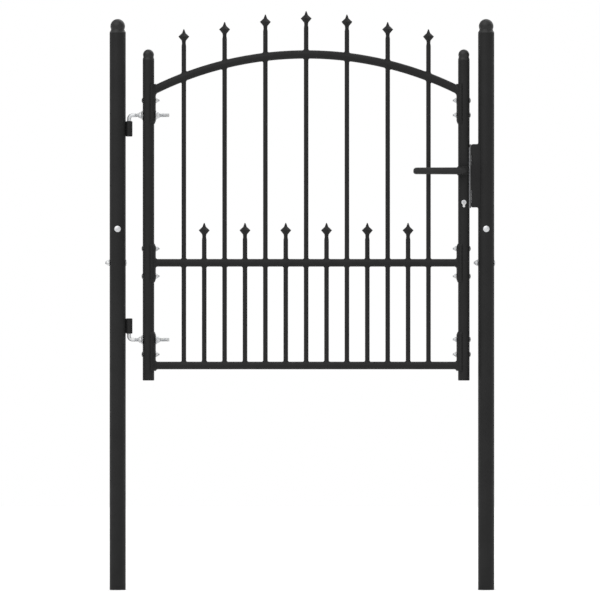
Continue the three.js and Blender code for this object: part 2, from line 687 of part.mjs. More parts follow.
// The body is cut away round its middle, where the cam turns
function addCylinder() {
  const { z, radius, halfLength } = CYLINDER;
  const camHalf = CAM.halfWidth + GAP;
  const camRoom = box([-radius - 1, radius + 1], [-camHalf, camHalf], [z - radius - 0.5, z + radius + 1]);
  const bore = holeAlongY(CYLINDER_PLUG_RADIUS + GAP, -halfLength - 1, halfLength + 1, z, ROD_SIDES);
  const body = cut(cylinderShape(0, -halfLength, halfLength), camRoom, bore);
  place(lock, 'lock_cylinder', body, zinc, LOCK_STILE_X);

  const plug = rod(CYLINDER_PLUG_RADIUS, -halfLength + 0.4, halfLength - 0.4).rotateX(Math.PI / 2);
  const cam = rod(CAM.radius, -CAM.halfWidth, CAM.halfWidth).rotateX(Math.PI / 2);
  const lobe = box([0, CAM.lobe], [-CAM.halfWidth, CAM.halfWidth], [-CAM.lobeHalfWidth, CAM.lobeHalfWidth])
    .rotateY(Math.PI);
  place(lock, 'cylinder_plug', join(plug, cam, lobe), zinc, LOCK_STILE_X, 0, z);
}

addLockCase();
addForend();
addLatch();
addDeadbolt();
addSpindle();
addRose('front_rose', -1);
addRose('back_rose', 1);
addLever('front_lever', -1);
addLever('back_lever', 1);
addCylinder();

export default gate;
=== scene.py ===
"""Looks of an arched garden gate: every visible piece is a fine mesh built where its CAD node lies.

Shapes are built in millimetres in the row frame: +Z up, X along the closed gate, -Y the front.
"""

import json
import math
import random

import bmesh
import bpy
from mathutils import Matrix, Vector


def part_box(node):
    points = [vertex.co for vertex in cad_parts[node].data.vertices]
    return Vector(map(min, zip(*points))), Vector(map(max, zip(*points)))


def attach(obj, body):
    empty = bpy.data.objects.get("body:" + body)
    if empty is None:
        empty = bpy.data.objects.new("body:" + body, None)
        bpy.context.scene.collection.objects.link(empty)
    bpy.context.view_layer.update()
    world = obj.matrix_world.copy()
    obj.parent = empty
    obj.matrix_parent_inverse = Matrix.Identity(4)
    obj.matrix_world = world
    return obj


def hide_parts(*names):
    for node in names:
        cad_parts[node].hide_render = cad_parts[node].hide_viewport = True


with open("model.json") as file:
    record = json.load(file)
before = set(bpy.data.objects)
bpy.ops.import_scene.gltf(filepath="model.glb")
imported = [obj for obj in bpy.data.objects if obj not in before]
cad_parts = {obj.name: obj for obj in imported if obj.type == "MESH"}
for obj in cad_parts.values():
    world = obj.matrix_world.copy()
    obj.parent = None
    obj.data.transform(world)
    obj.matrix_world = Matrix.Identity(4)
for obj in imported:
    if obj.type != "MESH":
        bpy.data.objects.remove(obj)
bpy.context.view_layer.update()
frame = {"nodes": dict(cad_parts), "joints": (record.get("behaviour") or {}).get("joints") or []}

# ---- Driving sizes, in millimetres ----

MM = 0.001
MERGE_WITHIN = 1e-6  # metres
SHARP_ANGLE = math.radians(32)
SEED = 7

WALL = {"post": 1.5, "stile": 1.5, "rail": 1.2, "picket": 1.0}
SEAT_GAP = 0.3  # between a CAD piece and what it is bolted or welded to
CUT_EDGE = 0.4  # rounding of a sawn and painted tube end

# A ball cap: the height of its straight collar, then how far in and how high its sloped shoulder ends
CAPS = {
    "post": {"ball": 19.0, "neck": 17.4, "collar": 2.6, "inset": 2.7, "shoulder": 6.6, "round": 2.2},
    "stile": {"ball": 14.3, "neck": 13.4, "collar": 3.2, "inset": 1.1, "shoulder": 7.0, "round": 1.8},
}

# A fastener: its thread, its nut (across flats, flange radius, height), what stands past it, and its head
M6 = {
    "radius": 3.0, "pitch": 1.0, "flats": 10.0, "flange": 7.4, "nut": 6.0, "past": 3.4,
    "head": 6.8, "dome": 2.5,
}
M8 = {
    "radius": 4.0, "pitch": 1.25, "flats": 13.0, "flange": 8.8, "nut": 8.0, "past": 3.0,
    "head": 8.2, "dome": 2.5,
}
M10 = {"radius": 5.0, "pitch": 1.5, "flats": 16.0, "flange": 12.2, "nut": 10.5}
HOLE_PLAY = 0.4  # between a bolt and its hole
NUT_SKIRT = 1.0  # how fast a nut's flange narrows, and then its chamfered top
NUT_CHAMFER = 0.58
HINGE_BEND = 9.0
HINGE_FLANGE = 12.0  # flange radius of the CAD's hinge nuts
BARREL_BORE = 5.35

SADDLE_HALF_ANGLE = math.radians(75)
SADDLE_TAPER = 8.0
ARCH_RADIUS = 890.0

# A spearhead: depth below its tip, half width, rounding of the outline there
SPEAR = [
    (44.0, 6.0, 3.0), (36.4, 4.9, 4.0), (30.0, 5.6, 3.0),
    (19.4, 14.4, 0.9), (10.4, 4.7, 2.5), (0.7, 1.2, 0.5),
]
SPEAR_ROUND_BELOW = 37.0  # the head is four-sided above this depth and round below it
SPEAR_SQUARE_ABOVE = 30.0
SPEAR_POWER = 1.22  # of its section: 1 is a diamond and 2 a circle

RAIL_WELD = 3.2
SADDLE_WELD = 4.6
COPE_GAP = 0.1  # between a coped tube end and what it fits round

LATCH_FOOT = 5.0  # how far the foot of the latch hangs below its head
SPINDLE_HOLE = 6.6
SPINDLE_HALF = 4.15  # half the side of a lever's square socket
PLUG_RADIUS = 4.0
CYLINDER = {"radius": 6.3, "leg": 3.0, "corner": 1.2}

SIDES = {
    "post": 96, "stile": 72, "rail": 48, "picket": 40, "rod": 40, "nut": 48, "head": 48, "hole": 32,
    "screw": 32, "barrel": 64, "weld": 64, "lock": 40, "lever": 48, "post_cap": 80, "stile_cap": 64,
}

# ---- The frame in millimetres ----


def box(node):
    low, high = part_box(node)
    return low / MM, high / MM


def middle(node):
    low, high = box(node)
    return (low + high) / 2


def half_size(node):
    low, high = box(node)
    return (high - low) / 2


def joint_place(name):
    found = next(j for j in frame["joints"] if j["name"] == name)
    return Vector(found["pos_m"]) / MM


HINGE_AXIS = joint_place("leaf_swing")
STILE_X = {side: middle(f"{side}_stile").x for side in ("hinge", "lock")}
STILE_RADIUS = half_size("hinge_stile").x
INWARD = {"hinge": 1, "lock": -1}
SADDLE_RADIUS = box("hinge_mid_saddle")[1].x - STILE_X["hinge"]
POST_X = {side: middle(f"{side}_post").x for side in ("hinge", "lock")}
POST_RADIUS = half_size("hinge_post").x
RAIL_RADIUS = half_size("bottom_rail").z
ARCH_TUBE_RADIUS = half_size("arch_rail").y
ARCH_TOP = box("arch_rail")[1].z
LONG_PICKETS = [f"long_picket_{i}" for i in range(1, 8)]
SHORT_PICKETS = [f"short_picket_{i}" for i in range(1, 7)]
PICKET_RADIUS = 6.0
LEAF_X = (STILE_X["hinge"] + STILE_X["lock"]) / 2

# ---- Meshes in the making ----


class Solid:
    """Points in millimetres and faces as point numbers."""

    def __init__(self):
        self.points = []
        self.faces = []

    def ring(self, points):
        first = len(self.points)
        self.points.extend(Vector(p) for p in points)
        return list(range(first, len(self.points)))

    def bridge(self, lower, upper):
        """Faces between two rings of the same size, or between a ring and one point."""
        count = max(len(lower), len(upper))
        if count == 1:
            return
        for i in range(count):
            j = (i + 1) % count
            corners = [lower[i % len(lower)], lower[j % len(lower)]]
            corners += [upper[j % len(upper)], upper[i % len(upper)]]
            self.faces.append(tuple(dict.fromkeys(corners)))

    def add(self, other):
        first = len(self.points)
        self.points.extend(p.copy() for p in other.points)
        self.faces.extend(tuple(i + first for i in face) for face in other.faces)
        return self

    def moved(self, matrix):
        made = Solid()
        made.points = [matrix @ p for p in self.points]
        made.faces = list(self.faces)
        return made

    def at(self, x, y, z):
        return self.moved(Matrix.Translation((x, y, z)))


def loft(rings, loop=False):
    """A skin over rings of points. Open ends are closed with flat faces unless they are single points."""
    solid = Solid()
    made = [solid.ring(ring) for ring in rings]
    for lower, upper in zip(made, made[1:]):
        solid.bridge(lower, upper)
    if loop:
        solid.bridge(made[-1], made[0])
    else:
        for end in (made[0], made[-1]):
            if len(end) > 2:
                solid.faces.append(tuple(end))
    return solid


def turns(sides):
    return [math.tau * k / sides for k in range(sides)]


def spread(first, last, steps):
    """Evenly spaced values from first to last."""
    return [first + (last - first) * k / steps for k in range(steps + 1)]


def circle(radius, height, sides):
    return [(radius * math.cos(a), radius * math.sin(a), height) for a in turns(sides)]


def oval(centre, u, v, radius_u, radius_v, sides):
    """A ring of points round a centre, in the plane of the directions u and v."""
    return [centre + u * radius_u * math.cos(a) + v * radius_v * math.sin(a) for a in turns(sides)]


def lathe(profile, sides, loop=False):
    """A body of revolution about Z. The profile lists (radius, height)."""
    rings = [circle(r, z, sides) if r > 1e-6 else [(0, 0, z)] for r, z in profile]
    return loft(rings, loop)


def rounded(corners, steps=5, loop=True):
    """Corners (x, y, radius) as a line of points whose corners are arcs."""
    line = []
    for i, (x, y, radius) in enumerate(corners):
        here = Vector((x, y))
        if radius <= 0 or (not loop and i in (0, len(corners) - 1)):
            line.append((x, y))
            continue
        back = (Vector(corners[i - 1][:2]) - here).normalized()
        on = (Vector(corners[(i + 1) % len(corners)][:2]) - here).normalized()
        half = back.angle(on) / 2
        centre = here + (back + on).normalized() * radius / math.sin(half)
        start = here + back * radius / math.tan(half) - centre
        end = here + on * radius / math.tan(half) - centre
        first = math.atan2(start.y, start.x)
        turn = (math.atan2(end.y, end.x) - first + math.pi) % math.tau - math.pi
        for angle in spread(first, first + turn, steps):
            line.append((centre.x + radius * math.cos(angle), centre.y + radius * math.sin(angle)))
    return line


def tube(radius, wall, low, high, sides, edge=CUT_EDGE):
    inner = radius - wall
    corners = [(inner, low, edge), (radius, low, edge), (radius, high, edge), (inner, high, edge)]
    return lathe(rounded(corners, 3), sides, loop=True)


def rod(radius, low, high, sides, edge=0.0):
    corners = [(0, low, 0), (radius, low, edge), (radius, high, edge), (0, high, 0)]
    return lathe(rounded(corners, 3, loop=False), sides)


def along_x(solid):
    return solid.moved(Matrix.Rotation(math.pi / 2, 4, "Y"))


def along_y(solid):
    """Turns what lies along Z to lie along -Y, its top to the front."""
    return solid.moved(Matrix.Rotation(math.pi / 2, 4, "X"))


def prism(outline, low, high):
    """An outline of (x, y) points made solid from low to high along Z."""
    return loft([[(x, y, low) for x, y in outline], [(x, y, high) for x, y in outline]])


def block(x, y, z, edge=0.0):
    """A box between pairs of limits, its edges rounded."""
    outline = [(x[0], y[0]), (x[1], y[0]), (x[1], y[1]), (x[0], y[1])]
    made = prism(outline, z[0], z[1])
    return softened(made, edge) if edge > 0 else made


def to_bmesh(solid):
    made = bmesh.new()
    points = [made.verts.new(p * MM) for p in solid.points]
    for face in solid.faces:
        made.faces.new([points[i] for i in face])
    bmesh.ops.remove_doubles(made, verts=made.verts, dist=MERGE_WITHIN)
    bmesh.ops.recalc_face_normals(made, faces=made.faces)
    return made


def from_bmesh(made):
    solid = Solid()
    made.verts.ensure_lookup_table()
    made.verts.index_update()
    solid.points = [v.co / MM for v in made.verts]
    solid.faces = [tuple(v.index for v in face.verts) for face in made.faces]
    made.free()
    return solid


def softened(solid, width, angle=math.radians(25), segments=3):
    """The solid with its sharp edges rounded."""
    made = to_bmesh(solid)
    edges = [e for e in made.edges if len(e.link_faces) == 2 and e.calc_face_angle() > angle]
    bmesh.ops.bevel(
        made, geom=edges, offset=width * MM, offset_type="OFFSET", segments=segments, profile=0.5,
        affect="EDGES", clamp_overlap=True,
    )
    return from_bmesh(made)


def placed(name, data):
    """A new object in the scene."""
    made = bpy.data.objects.new(name, data)
    bpy.context.scene.collection.objects.link(made)
    return made


def mesh_object(name, made):
    mesh = bpy.data.meshes.new(name)
    made.to_mesh(mesh)
    made.free()
    return placed(name, mesh)


def carved(solid, *tools):
    """The solid less each of the tools."""
    base = mesh_object("base", to_bmesh(solid))
    cutters = [mesh_object("cutter", to_bmesh(tool)) for tool in tools]
    for cutter in cutters:
        cut = base.modifiers.new("cut", "BOOLEAN")
        cut.operation = "DIFFERENCE"
        cut.solver = "EXACT"
        cut.object = cutter
    bpy.context.view_layer.update()
    done = base.evaluated_get(bpy.context.evaluated_depsgraph_get()).to_mesh()
    made = Solid()
    made.points = [v.co / MM for v in done.vertices]
    made.faces = [tuple(p.vertices) for p in done.polygons]
    for spare in [base, *cutters]:
        mesh = spare.data
        bpy.data.objects.remove(spare)
        bpy.data.meshes.remove(mesh)
    return made


def piece(name, solid, material, body, slot, *nodes):
    """A finished object that rides on a body and stands for its CAD nodes."""
    made = to_bmesh(solid)
    for face in made.faces:
        face.smooth = True
    for edge in made.edges:
        edge.smooth = len(edge.link_faces) == 2 and edge.calc_face_angle() < SHARP_ANGLE
    shown = mesh_object(name, made)
    shown.data.materials.append(material)
    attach(shown, body)
    if nodes:
        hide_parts(*nodes)


def painted(name, solid, body, *nodes):
    piece(name, solid, PAINT, body, "black_paint", *nodes)


def plated(name, solid, body, *nodes):
    piece(name, solid, ZINC, body, "zinc", *nodes)


# ---- Materials ----


class Surface:
    """A material whose shader is fed by a few procedural nodes, all in the piece's own metres."""

    def __init__(self, name, roughness, metallic=0.0, specular=0.5):
        self.material = bpy.data.materials.new(name)
        self.material.use_nodes = True
        self.tree = self.material.node_tree
        self.shader = self.tree.nodes["Principled BSDF"]
        self.shader.inputs["Roughness"].default_value = roughness
        self.shader.inputs["Metallic"].default_value = metallic
        self.shader.inputs["Specular IOR Level"].default_value = specular
        self.place = self.node("ShaderNodeTexCoord", {}, {}).outputs["Object"]

    def node(self, kind, values, links):
        """A new node with its sockets' values and what is linked to them."""
        made = self.tree.nodes.new(kind)
        for socket, value in values.items():
            made.inputs[socket].default_value = value
        for socket, source in links.items():
            self.tree.links.new(source, made.inputs[socket])
        return made

    def stretched(self, scale):
        """The place, scaled by a different factor on each axis."""
        return self.node("ShaderNodeMapping", {"Scale": scale}, {"Vector": self.place}).outputs["Vector"]

    def noise(self, scale, detail=3.0, place=None):
        values = {"Scale": scale, "Detail": detail}
        return self.node("ShaderNodeTexNoise", values, {"Vector": place or self.place}).outputs["Fac"]

    def ranged(self, value, low, high, start=0.3, end=0.7):
        values = {"From Min": start, "From Max": end, "To Min": low, "To Max": high}
        return self.node("ShaderNodeMapRange", values, {"Value": value}).outputs["Result"]

    def colours(self, value, stops):
        made = self.node("ShaderNodeValToRGB", {}, {"Fac": value})
        ramp = made.color_ramp
        while len(ramp.elements) < len(stops):
            ramp.elements.new(0.5)
        for element, (at, colour) in zip(ramp.elements, stops):
            element.position = at
            element.color = (*colour, 1.0)
        return made.outputs["Color"]

    def bump(self, value, strength, depth, under=None):
        links = {"Height": value}
        if under:
            links["Normal"] = under
        values = {"Strength": strength, "Distance": depth}
        return self.node("ShaderNodeBump", values, links).outputs["Normal"]

    def dressed(self, colour, roughness=None, normal=None):
        """The material, with these fed to its shader."""
        for socket, value in (("Base Color", colour), ("Roughness", roughness), ("Normal", normal)):
            if value:
                self.tree.links.new(value, self.shader.inputs[socket])
        return self.material


def grey(value):
    return (value, value, value)


def powder_coat(name, dark, light, specular):
    """Matt powder coat: an orange-peel grain of about a millimetre, faintly clouded in colour and gloss."""
    surface = Surface(name, 0.55, specular=specular)
    colour = surface.colours(surface.noise(14.0, 4.0), [(0.32, grey(dark)), (0.68, grey(light))])
    roughness = surface.ranged(surface.noise(70.0, 4.0), 0.46, 0.62)
    peel = surface.bump(surface.noise(620.0, 2.0), 0.22, 0.0003)
    grain = surface.bump(surface.noise(2600.0, 2.0), 0.12, 0.0001, peel)
    return surface.dressed(colour, roughness, grain)


def moulded_plastic(name, dark, light):
    """Satin black plastic with the fine spark-eroded grain of its mould."""
    surface = Surface(name, 0.42, specular=0.3)
    colour = surface.colours(surface.noise(30.0), [(0.3, grey(dark)), (0.7, grey(light))])
    roughness = surface.ranged(surface.noise(160.0), 0.36, 0.5)
    return surface.dressed(colour, roughness, surface.bump(surface.noise(3200.0), 0.16, 0.00012))


def zinc_plate(name):
    """Zinc plating: cool grey, clouded, with fine pitting."""
    surface = Surface(name, 0.32, metallic=1.0)
    stops = [(0.3, (0.54, 0.55, 0.565)), (0.5, (0.6, 0.608, 0.617)), (0.72, (0.66, 0.657, 0.642))]
    colour = surface.colours(surface.noise(90.0, 5.0), stops)
    roughness = surface.ranged(surface.noise(420.0, 4.0), 0.42, 0.58)
    return surface.dressed(colour, roughness, surface.bump(surface.noise(1900.0), 0.18, 0.0001))


def brushed_stainless(name, level):
    """Satin stainless steel, brushed along its length."""
    surface = Surface(name, 0.34, metallic=1.0)
    lines = surface.noise(1.0, 3.0, surface.stretched((2400.0, 2400.0, 26.0)))
    colour = surface.colours(lines, [(0.3, grey(level * 0.86)), (0.7, grey(level * 1.12))])
    return surface.dressed(colour, surface.ranged(lines, 0.26, 0.44), surface.bump(lines, 0.2, 0.00008))


def galvanised_sheet(name):
    """Hot-dip galvanised sheet with its crystal spangle."""
    surface = Surface(name, 0.4, metallic=1.0)
    cells = surface.node("ShaderNodeTexVoronoi", {"Scale": 210.0}, {"Vector": surface.place})
    tones = surface.node("ShaderNodeRGBToBW", {}, {"Color": cells.outputs["Color"]}).outputs["Val"]
    colour = surface.colours(tones, [(0.2, (0.27, 0.275, 0.29)), (0.8, (0.38, 0.388, 0.4))])
    roughness = surface.ranged(tones, 0.32, 0.5, 0.2, 0.8)
    return surface.dressed(colour, roughness, surface.bump(surface.noise(1400.0), 0.15, 0.0001))


def studio_floor(name):
    surface = Surface(name, 0.8, specular=0.2)
    return surface.dressed(surface.colours(surface.noise(3.0), [(0.3, grey(0.84)), (0.7, grey(0.88))]))


PAINT = powder_coat("black_powder_coat", 0.0121, 0.0145, specular=0.14)
LEVER_COAT = powder_coat("lever_black_coat", 0.0165, 0.0205, specular=0.16)
PLASTIC = moulded_plastic("black_moulded_plastic", 0.0105, 0.013)
ZINC = zinc_plate("zinc_plate")
STAINLESS = brushed_stainless("brushed_stainless", 0.115)
CASE_STEEL = galvanised_sheet("galvanised_sheet")

# ---- Welds ----


def meet(start, direction, axis_point, axis, radius):
    """Where a line leaves a round bar: the far one of the two places it crosses the bar's surface."""
    across = direction - axis * direction.dot(axis)
    offset = start - axis_point
    offset = offset - axis * offset.dot(axis)
    half = across.dot(offset)
    spread = half * half - across.length_squared * (offset.length_squared - radius * radius)
    return start + direction * (-half + math.sqrt(max(spread, 0.0))) / across.length_squared


def weld_section(upper, corner, outer, sink):
    """A concave fillet from upper to outer, whose hidden back lies a little inside both pieces."""
    hollow = 0.3
    bend = corner.lerp((upper + outer) / 2, hollow)
    shares = spread(0.0, 1.0, 5)
    front = [upper * (1 - t) ** 2 + bend * 2 * t * (1 - t) + outer * t ** 2 for t in shares]
    return front + [outer + sink * 0.35, corner + sink, upper + sink * 0.35]


def weld_round(
    branch, direction, branch_radius, main, main_axis, main_radius, leg, chance, ceiling=math.inf,
):
    """A fillet weld all round a round branch that stands on a round bar. It narrows under a ceiling."""
    direction = direction.normalized()
    across = direction.cross(main_axis).normalized()
    along = across.cross(direction).normalized()
    waves = chance.randint(9, 13)
    phase = chance.uniform(0, math.tau)
    sections = []
    for angle in turns(SIDES["weld"]):
        out = across * math.cos(angle) + along * math.sin(angle)
        swell = 1 + 0.07 * math.sin(waves * angle + phase) + 0.05 * math.sin(3 * angle + 2 * phase)
        corner = meet(branch + out * branch_radius, direction, main, main_axis, main_radius)
        room = (ceiling - corner.z) / out.z if out.z > 0.05 else math.inf
        reach = min(leg * swell, max(0.6, room))
        outer = meet(branch + out * (branch_radius + reach), direction, main, main_axis, main_radius)
        sink = -out * 0.5 - direction * 0.5
        sections.append(weld_section(corner + direction * reach, corner, outer, sink))
    return loft(sections, loop=True)


# ---- Posts ----


def hole_x(height, x, radius):
    return along_x(rod(radius, -30.0, 30.0, SIDES["hole"])).at(x, 0, height)


def hole_y(height, x, radius, reach=30.0):
    return along_y(rod(radius, -reach, reach, SIDES["hole"])).at(x, 0, height)


def make_post(side):
    low, high = box(f"{side}_post")
    body = tube(POST_RADIUS, WALL["post"], low.z, high.z, SIDES["post"]).at(POST_X[side], 0, 0)
    hole = M8["radius"] + HOLE_PLAY
    front_hole = hole_y(middle(f"{side}_post_front_bolt").z, POST_X[side], hole)
    side_hole = hole_x(middle(f"{side}_post_side_bolt").z, POST_X[side], hole)
    painted(f"{side}_post_tube", carved(body, front_hole, side_hole), "posts", f"{side}_post")


def ball_cap(radius, wall, tube_top, low, high, sizes, sides):
    """A ball on a collar. A plug with a rib holds it in the tube."""
    ball, neck = sizes["ball"], sizes["neck"]
    seat = tube_top + 0.15
    plug = radius - wall - 0.5
    neck_angle = -math.acos(neck / ball)
    centre = high - ball
    neck_height = centre + ball * math.sin(neck_angle)
    rib = plug + 0.35
    profile = rounded([
        (0, low, 0), (plug - 1, low, 0.5), (plug, low + 2, 0.5), (plug, low + 4, 0), (rib, low + 4.6, 0.2),
        (rib, low + 5.6, 0.2), (plug, low + 6.2, 0), (plug, seat, 0), (radius, seat, 0.3),
        (radius, tube_top + sizes["collar"], sizes["round"]),
        (radius - sizes["inset"], tube_top + sizes["shoulder"], sizes["round"]), (neck, neck_height, 0),
    ], loop=False)
    for angle in spread(neck_angle, math.pi / 2, 22)[1:-1]:
        profile.append((ball * math.cos(angle), centre + ball * math.sin(angle)))
    profile.append((0, high))
    return lathe(profile, sides)


def make_cap(side, kind, body):
    owner = f"{side}_{kind}"
    node = f"{owner}_ball_cap"
    low, high = box(node)
    top, radius = box(owner)[1].z, half_size(owner).x
    cap = ball_cap(radius, WALL[kind], top, low.z, high.z, CAPS[kind], SIDES[f"{kind}_cap"])
    cap = cap.at(middle(owner).x, 0, 0)
    piece(f"{owner}_cap", cap, PLASTIC, body, "black_plastic", node)


# ---- Fasteners. They are made along Z with the head's seat at 0 and the head above it ----


def dome_head(radius, height):
    """A low mushroom head with a small rim."""
    rim = 0.6
    bulge = (radius * radius + (height - rim) ** 2) / (2 * (height - rim))
    widest = math.asin(radius / bulge)
    profile = [(0, 0), (radius - 0.3, 0), (radius, 0.25), (radius, rim)]
    for angle in spread(widest, 0.0, 9)[1:-1]:
        profile.append((bulge * math.sin(angle), height - bulge + bulge * math.cos(angle)))
    profile.append((0, height))
    return lathe(profile, SIDES["head"])


def thread(radius, pitch, low, high):
    """A screw thread along Z with chamfered ends. Its rows of points follow the helix."""
    sides = SIDES["screw"]
    root = radius - 0.61 * pitch
    end = root - 0.1 * pitch
    phases = ((0.0, root), (0.22, root), (0.56, radius), (0.68, radius))
    rows = 4 * (math.ceil((high - low) / pitch) + 2)
    solid = Solid()
    for i in range(rows):
        phase, crest = phases[i % 4]
        for k in range(sides):
            z = low + pitch * (i // 4 - 1 + phase + k / sides)
            z = min(max(z, low), high)
            r = min(crest, end + min(z - low, high - z))
            angle = math.tau * k / sides
            solid.points.append(Vector((r * math.cos(angle), r * math.sin(angle), z)))

    def number(i, k):
        if k == sides:
            i, k = i + 4, 0
        return min(i, rows - 1) * sides + k

    for i in range(rows - 1):
        for k in range(sides):
            corners = (number(i, k), number(i, k + 1), number(i + 1, k + 1), number(i + 1, k))
            places = {tuple(round(c, 5) for c in solid.points[n]) for n in corners}
            if len(places) > 2:
                solid.faces.append(tuple(dict.fromkeys(corners)))
    for height in (low, high):
        solid.faces.append(tuple(solid.ring(circle(end, height, sides))))
    return solid


def flange_nut(size, turn):
    """A hexagon on a conical flange, well chamfered, with a countersunk hole. Its seat is at 0."""
    height, flats = size["nut"], size["flats"] / 2
    hole = size["radius"] + 0.12
    sink = 0.7
    foot = 0.8
    levels = [0.0, 0.25, *spread(foot, height, 24)]

    def outer(z, angle):
        if z == 0:
            return size["flange"] - 0.25
        skirt = size["flange"] - max(0.0, z - foot) * NUT_SKIRT
        hexagon = flats / math.cos((angle + math.pi / 6) % (math.pi / 3) - math.pi / 6)
        top = size["radius"] + sink + 0.3 + (height - z) * NUT_CHAMFER
        return max(skirt, min(hexagon, top))

    def ring(z, radius_at):
        reach = [(a, radius_at(a)) for a in turns(SIDES["nut"])]
        return [(r * math.cos(a + turn), r * math.sin(a + turn), z) for a, r in reach]

    rings = [ring(z, lambda a, z=z: outer(z, a)) for z in levels]
    for radius, z in ((hole + sink, height), (hole, height - sink), (hole, sink), (hole + sink, 0.0)):
        rings.append(ring(z, lambda a, radius=radius: radius))
    return loft(rings, loop=True)


def nutted_shank(size, grip, turn):
    """The plain shank with its threaded end, and the nut run on it with its seat at -grip."""
    end = -grip - size["nut"] - size["past"]
    plain_end = -grip + 2
    shank = rod(size["radius"] - 0.15, plain_end, -0.05, SIDES["screw"])
    screw = thread(size["radius"], size["pitch"], end, plain_end - 0.02)
    nut = flange_nut(size, turn).moved(Matrix.Rotation(math.pi, 4, "X")).at(0, 0, -grip)
    return shank.add(screw).add(nut)


def bolt_placing(node, size, axis):
    """(matrix from bolt space to the row, grip). The head is at the +X or -X end, or in front."""
    low, high = box(node)
    centre = (low + high) / 2
    fixed = size["dome"] + size["nut"] + size["past"]
    if axis == "-Y":
        place = Vector((centre.x, low.y + size["dome"], centre.z))
        return Matrix.Translation(place) @ Matrix.Rotation(math.pi / 2, 4, "X"), high.y - low.y - fixed
    grip = high.x - low.x - fixed
    if axis == "+X":
        place = Vector((high.x - size["dome"], centre.y, centre.z))
        return Matrix.Translation(place) @ Matrix.Rotation(math.pi / 2, 4, "Y"), grip
    place = Vector((low.x + size["dome"], centre.y, centre.z))
    return Matrix.Translation(place) @ Matrix.Rotation(-math.pi / 2, 4, "Y"), grip


def make_bolt(node, size, axis, body, chance, black_head):
    matrix, grip = bolt_placing(node, size, axis)
    head = dome_head(size["head"], size["dome"]).moved(matrix)
    shank = nutted_shank(size, grip, chance.uniform(0, math.tau)).moved(matrix)
    if black_head:
        painted(f"{node}_head", head, body, node)
        plated(f"{node}_shank", shank, body, node)
    else:
        plated(f"{node}_whole", head.add(shank), body, node)


# ---- Hinges ----


def bent_rod(radius, start, corner, end, bend, sides, tip=1.0):
    """A round bar from start to end, bent at the corner. Its start is chamfered by tip."""
    first = (corner - start).normalized()
    second = (end - corner).normalized()
    side = first.cross(second).normalized()
    centre = corner - first * bend + second * bend
    stations = [(start, first, radius - tip), (start + first * tip, first, radius)]
    for angle in spread(0.0, math.pi / 2, 14):
        point = centre - second * bend * math.cos(angle) + first * bend * math.sin(angle)
        stations.append((point, first * math.cos(angle) + second * math.sin(angle), radius))
    stations.append((end, second, radius))
    rings = []
    for point, direction, r in stations:
        rings.append(oval(point, side, side.cross(direction).normalized(), r, r, sides))
    return loft(rings)


def hinge_leg_height(level):
    """The leg's middle line: a nut's flange away from the end of the L-bolt that the pin doesn't reach."""
    low, high = box(f"{level}_hinge_bolt")
    return high.z - HINGE_FLANGE if level == "upper" else low.z + HINGE_FLANGE


def make_hinge_bolt(level, chance):
    """The L-bolt: its plain pin turns in the barrel and its threaded leg carries two nuts."""
    node = f"{level}_hinge_bolt"
    low, high = box(node)
    leg_z = hinge_leg_height(level)
    pin_end = low.z if level == "upper" else high.z
    thread_start = HINGE_AXIS.x + HINGE_BEND + 6
    pin = bent_rod(
        M10["radius"], Vector((HINGE_AXIS.x, 0, pin_end)), Vector((HINGE_AXIS.x, 0, leg_z)),
        Vector((thread_start, 0, leg_z)), HINGE_BEND, SIDES["rod"],
    )
    screw = along_x(thread(M10["radius"], M10["pitch"], thread_start + 0.02, high.x)).at(0, 0, leg_z)
    outer_seat = STILE_X["hinge"] - STILE_RADIUS - SEAT_GAP
    inner_seat = STILE_X["hinge"] + SADDLE_RADIUS + SEAT_GAP
    turn = math.radians(12)
    inner = along_x(flange_nut(M10, chance.uniform(-turn, turn))).at(inner_seat, 0, leg_z)
    outer = flange_nut(M10, chance.uniform(-turn, turn)).moved(Matrix.Rotation(-math.pi / 2, 4, "Y"))
    outer = outer.at(outer_seat, 0, leg_z)
    plated(f"{node}_rod", pin.add(screw), "leaf", node)
    plated(f"{node}_outer_nut", outer, "leaf", node)
    plated(f"{node}_inner_nut", inner, "leaf", node)


def crevice_weld(low, high, radius, chance):
    """The weld in the wedge between the post and a barrel, in front and behind."""
    made = Solid()
    count, sunk = 60, 0.3
    for front in (-1, 1):
        sections = []
        phase = chance.uniform(0, math.tau)
        for k in range(count + 1):
            z = low + (high - low) * k / count
            taper = min(1.0, 3.0 * k / count, 3.0 * (count - k) / count)
            depth = 1.6 + 0.7 * taper + 0.2 * math.sin(k * 1.05 + phase)
            post_x = POST_X["hinge"] + math.sqrt(POST_RADIUS ** 2 - depth ** 2)
            barrel_x = HINGE_AXIS.x - math.sqrt(radius ** 2 - depth ** 2)
            middle_x = (post_x + barrel_x) / 2
            sections.append([
                (post_x - sunk, front * 0.4, z), (post_x - sunk, front * depth, z),
                (middle_x, front * (depth - 0.4), z), (barrel_x + sunk, front * depth, z),
                (barrel_x + sunk, front * 0.4, z),
            ])
        made.add(loft(sections))
    return made


def make_hinge_barrel(level, chance):
    node = f"{level}_hinge_barrel"
    low, high = box(node)
    radius = high.x - HINGE_AXIS.x
    corners = [
        (BARREL_BORE, low.z, 0.5), (radius, low.z, 2.2), (radius, high.z, 2.2), (BARREL_BORE, high.z, 0.5),
    ]
    barrel = lathe(rounded(corners, 5), SIDES["barrel"], loop=True).at(HINGE_AXIS.x, 0, 0)
    painted(f"{node}_turned", barrel, "posts", node)
    weld = crevice_weld(low.z + 1.5, high.z - 1.5, radius, chance)
    painted(f"{node}_weld", weld, "posts", node)


# ---- Leaf frame ----


